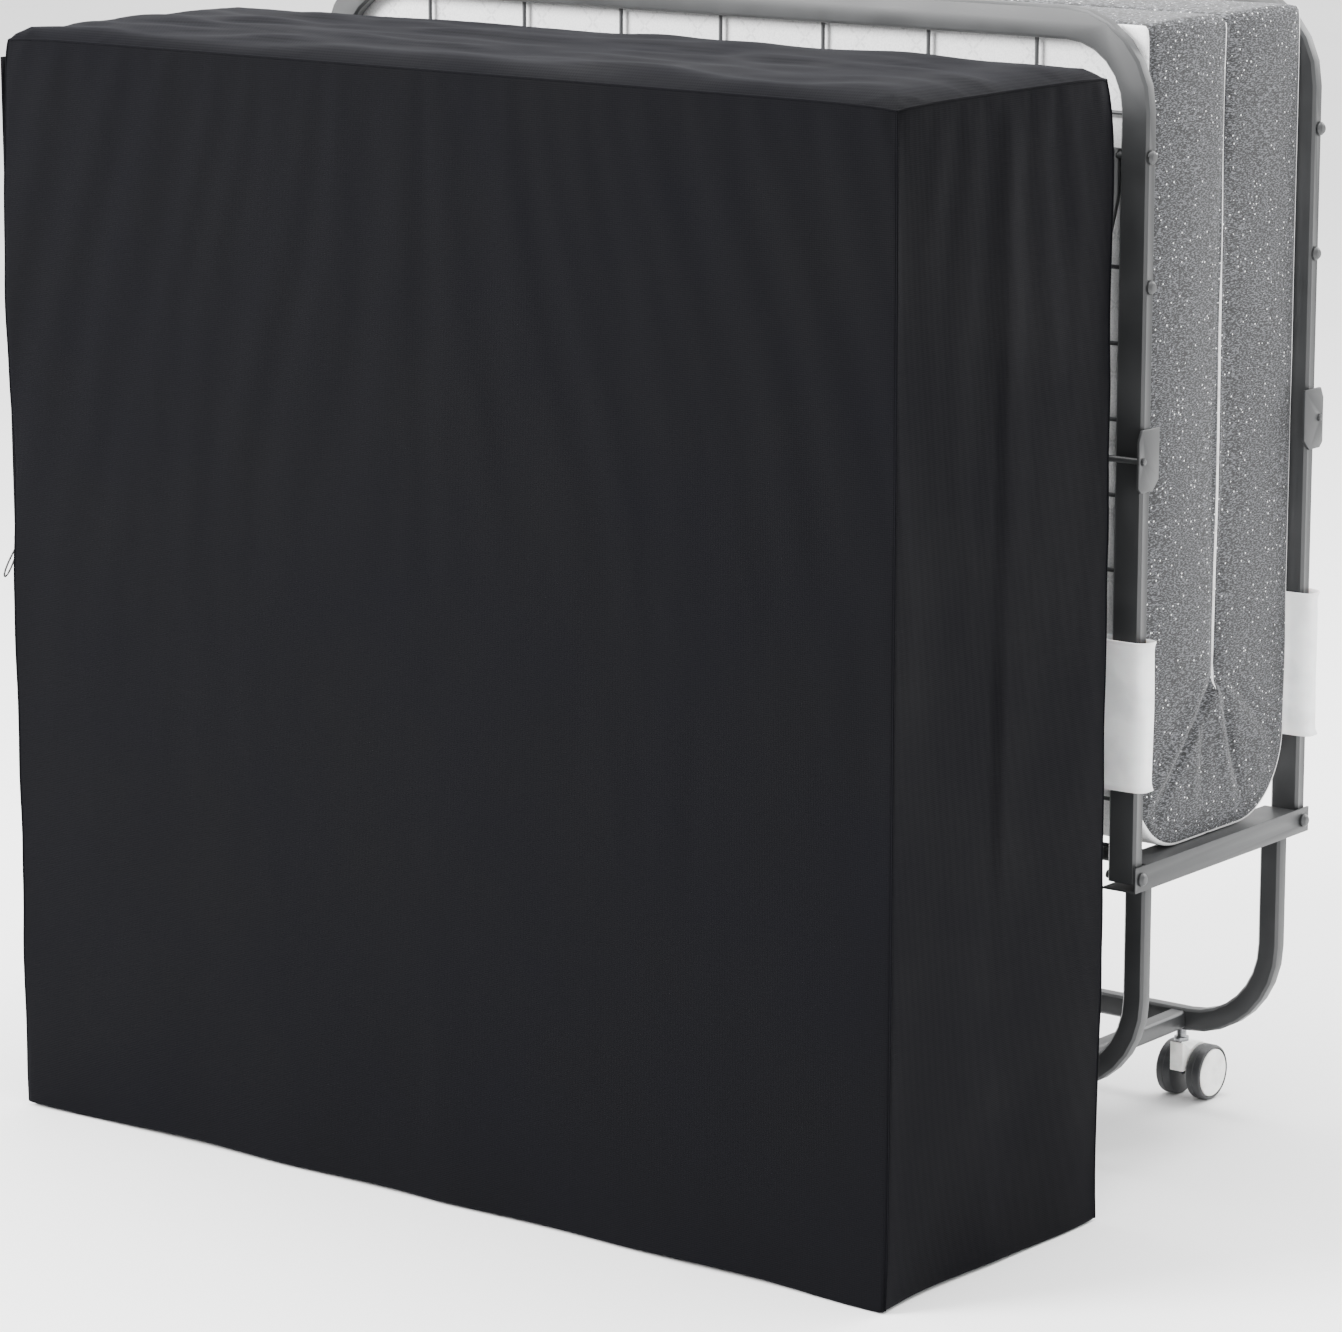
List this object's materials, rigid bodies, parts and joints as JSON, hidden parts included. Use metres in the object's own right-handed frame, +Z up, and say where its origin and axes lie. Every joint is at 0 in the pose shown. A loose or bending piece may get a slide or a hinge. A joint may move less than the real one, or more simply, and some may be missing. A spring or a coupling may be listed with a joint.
{
  "type": "rollaway bed",
  "caption": "Folding rollaway bed on swivel casters with a doubled foam mattress, a wire deck and a black zipped storage cover standing in front of it.",
  "frame": {"origin": "on the floor, at the middle of the box round the folded bed and its cover", "axes": "+X towards the right end of the bed, -Y towards the cover and the front, +Z up"},
  "size_m": [1.0385, 0.752, 1.0967],
  "materials": {
    "frame_paint": "satin dark grey powder coat",
    "deck_wire": "satin dark grey powder coat on drawn wire",
    "zinc_steel": "zinc plated, satin",
    "white_nylon": "white moulded nylon",
    "tyre_rubber": "dark grey moulded rubber",
    "mattress_tweed": "dark grey tweed knit with white flecks",
    "white_cotton": "white non-woven and quilted cover cloth",
    "cover_fabric": "black woven polyester, matt"
  },
  "bodies": {
    "base": {"left_rail": "frame_paint", "right_rail": "frame_paint", "front_base_leg": "frame_paint", "rear_base_leg": "frame_paint", "left_tie_tube": "frame_paint", "right_tie_tube": "frame_paint", "front_base_bar": "frame_paint", "rear_base_bar": "frame_paint", "base_deck": "deck_wire", "front_left_pivot_bolt": "zinc_steel", "front_right_pivot_bolt": "zinc_steel", "rear_left_pivot_bolt": "zinc_steel", "rear_right_pivot_bolt": "zinc_steel", "mattress_fold": "mattress_tweed"},
    "front_half": {"front_loop": "frame_paint", "front_deck": "deck_wire", "front_mattress": "mattress_tweed", "front_left_leg_bolt": "zinc_steel", "front_left_deck_bolt": "zinc_steel", "front_left_saddle": "frame_paint", "front_left_saddle_pin": "frame_paint", "front_left_sleeve": "white_cotton", "front_right_leg_bolt": "zinc_steel", "front_right_deck_bolt": "zinc_steel", "front_right_saddle": "frame_paint", "front_right_saddle_pin": "frame_paint", "front_right_sleeve": "white_cotton"},
    "front_leg": {"front_end_leg": "frame_paint"},
    "front_left_caster": {"front_left_caster_hood": "white_nylon", "front_left_caster_stem": "zinc_steel"},
    "front_left_caster_wheels": {"front_left_caster_wheels": "tyre_rubber"},
    "front_right_caster": {"front_right_caster_hood": "white_nylon", "front_right_caster_stem": "zinc_steel"},
    "front_right_caster_wheels": {"front_right_caster_wheels": "tyre_rubber"},
    "rear_half": {"rear_loop": "frame_paint", "rear_deck": "deck_wire", "rear_mattress": "mattress_tweed", "rear_left_leg_bolt": "zinc_steel", "rear_left_deck_bolt": "zinc_steel", "rear_left_saddle": "frame_paint", "rear_left_saddle_pin": "frame_paint", "rear_left_sleeve": "white_cotton", "rear_right_leg_bolt": "zinc_steel", "rear_right_deck_bolt": "zinc_steel", "rear_right_saddle": "frame_paint", "rear_right_saddle_pin": "frame_paint", "rear_right_sleeve": "white_cotton"},
    "rear_leg": {"rear_end_leg": "frame_paint"},
    "rear_left_caster": {"rear_left_caster_hood": "white_nylon", "rear_left_caster_stem": "zinc_steel"},
    "rear_left_caster_wheels": {"rear_left_caster_wheels": "tyre_rubber"},
    "rear_right_caster": {"rear_right_caster_hood": "white_nylon", "rear_right_caster_stem": "zinc_steel"},
    "rear_right_caster_wheels": {"rear_right_caster_wheels": "tyre_rubber"},
    "cover": {"cover_front": "cover_fabric", "cover_rear": "cover_fabric", "cover_left": "cover_fabric", "cover_right": "cover_fabric", "cover_top": "cover_fabric"},
    "zip_slider": {"zip_slider": "zinc_steel"}
  },
  "joints": [
    {"name": "front_unfold", "type": "hinge", "parent": "base", "child": "front_half", "pos_m": [0, 0.062, 0.297], "axis": [1, 0, 0], "range_deg": [0, 90], "deforming": ["cover_front", "cover_rear", "cover_left", "cover_right", "cover_top"]},
    {"name": "front_leg_swing", "type": "hinge", "parent": "front_half", "child": "front_leg", "pos_m": [0, 0.0595, 0.966], "axis": [1, 0, 0], "range_deg": [-90, 0]},
    {"name": "front_left_caster_swivel", "type": "hinge", "parent": "base", "child": "front_left_caster", "pos_m": [-0.375, 0.086, 0.0275], "axis": [0, 0, 1], "continuous": true},
    {"name": "front_left_caster_roll", "type": "hinge", "parent": "front_left_caster", "child": "front_left_caster_wheels", "pos_m": [-0.375, 0.106, 0.0275], "axis": [1, 0, 0], "continuous": true},
    {"name": "front_right_caster_swivel", "type": "hinge", "parent": "base", "child": "front_right_caster", "pos_m": [0.375, 0.086, 0.0275], "axis": [0, 0, 1], "continuous": true},
    {"name": "front_right_caster_roll", "type": "hinge", "parent": "front_right_caster", "child": "front_right_caster_wheels", "pos_m": [0.375, 0.106, 0.0275], "axis": [1, 0, 0], "continuous": true},
    {"name": "rear_unfold", "type": "hinge", "parent": "base", "child": "rear_half", "pos_m": [0, 0.352, 0.297], "axis": [-1, 0, 0], "range_deg": [0, 90]},
    {"name": "rear_leg_swing", "type": "hinge", "parent": "rear_half", "child": "rear_leg", "pos_m": [0, 0.3545, 0.966], "axis": [-1, 0, 0], "range_deg": [-90, 0]},
    {"name": "rear_left_caster_swivel", "type": "hinge", "parent": "base", "child": "rear_left_caster", "pos_m": [-0.375, 0.328, 0.0275], "axis": [0, 0, 1], "continuous": true},
    {"name": "rear_left_caster_roll", "type": "hinge", "parent": "rear_left_caster", "child": "rear_left_caster_wheels", "pos_m": [-0.375, 0.348, 0.0275], "axis": [1, 0, 0], "continuous": true},
    {"name": "rear_right_caster_swivel", "type": "hinge", "parent": "base", "child": "rear_right_caster", "pos_m": [0.375, 0.328, 0.0275], "axis": [0, 0, 1], "continuous": true},
    {"name": "rear_right_caster_roll", "type": "hinge", "parent": "rear_right_caster", "child": "rear_right_caster_wheels", "pos_m": [0.375, 0.348, 0.0275], "axis": [1, 0, 0], "continuous": true},
    {"name": "cover_on", "type": "slide", "parent": "base", "child": "cover", "axis": [0, 0.992, 0.1259], "range_m": [0, 0.42085]},
    {"name": "zip_slide", "type": "slide", "parent": "cover", "child": "zip_slider", "axis": [0, 0, 1], "range_m": [-0.5, 0.44]}
  ],
  "couplings": [
    {"joint": "front_leg_swing", "follows": "front_unfold", "ratio": -1},
    {"joint": "rear_leg_swing", "follows": "rear_unfold", "ratio": -1}
  ]
}
